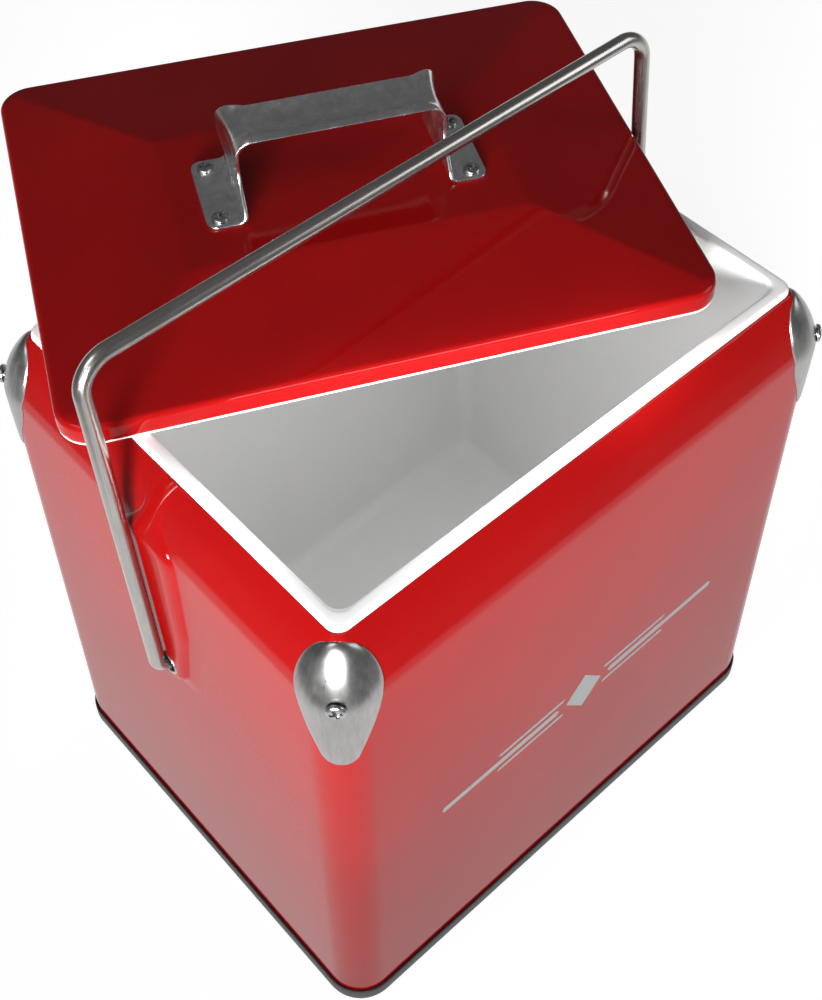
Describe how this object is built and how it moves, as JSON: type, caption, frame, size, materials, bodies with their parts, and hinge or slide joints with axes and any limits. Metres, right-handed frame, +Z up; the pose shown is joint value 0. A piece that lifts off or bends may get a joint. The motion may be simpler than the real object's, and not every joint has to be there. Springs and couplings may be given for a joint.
{
  "type": "cooler chest",
  "caption": "Upright metal-skinned cooler chest with a plastic tub, corner guards, a wire bail handle and a lift-off insulated lid with its own strap handle.",
  "frame": {"origin": "centre of the base tray's flat underside, where the chest rests", "axes": "+X along the chest's length, from end to end through both bail pivots; -Y is the front; +Z up"},
  "size_m": [0.3845, 0.3871, 0.4074],
  "materials": {
    "red_paint": "gloss",
    "white_plastic": "satin",
    "black_plastic": "matte",
    "bush_plastic": "satin",
    "brushed_guard": "satin",
    "bail_steel": "satin",
    "handle_steel": "satin",
    "bright_steel": "polished",
    "zinc_steel": "satin",
    "foam": "matte"
  },
  "bodies": {
    "chest": {"outer_shell": "red_paint", "base_tray": "black_plastic", "tub_liner": "white_plastic", "chest_foam": "foam", "pivot_plate_left": "zinc_steel", "pivot_plate_right": "zinc_steel", "pivot_bush_left": "bush_plastic", "pivot_bush_right": "bush_plastic", "pivot_eyelet_left": "bright_steel", "pivot_eyelet_right": "bright_steel", "corner_guard_front_left": "brushed_guard", "corner_guard_front_right": "brushed_guard", "corner_guard_back_left": "brushed_guard", "corner_guard_back_right": "brushed_guard", "guard_screws": "bright_steel", "guard_nuts": "zinc_steel"},
    "bail": {"bail": "bail_steel", "bail_end_clips": "zinc_steel"},
    "lid": {"lid_skin": "red_paint", "lid_inner_panel": "white_plastic", "lid_foam": "foam", "lid_handle": "handle_steel", "handle_screws": "bright_steel", "handle_washers": "zinc_steel", "handle_nuts": "zinc_steel"}
  },
  "joints": [
    {"name": "bail_swing", "type": "hinge", "parent": "chest", "child": "bail", "pos_m": [0, 0, 0.2], "axis": [1, 0, 0], "range_deg": [0, 143.5]},
    {"name": "lid_lift_off", "type": "slide", "parent": "chest", "child": "lid", "axis": [0.4288, 0.8792, 0.2079], "range_m": [0, 0.3]}
  ]
}
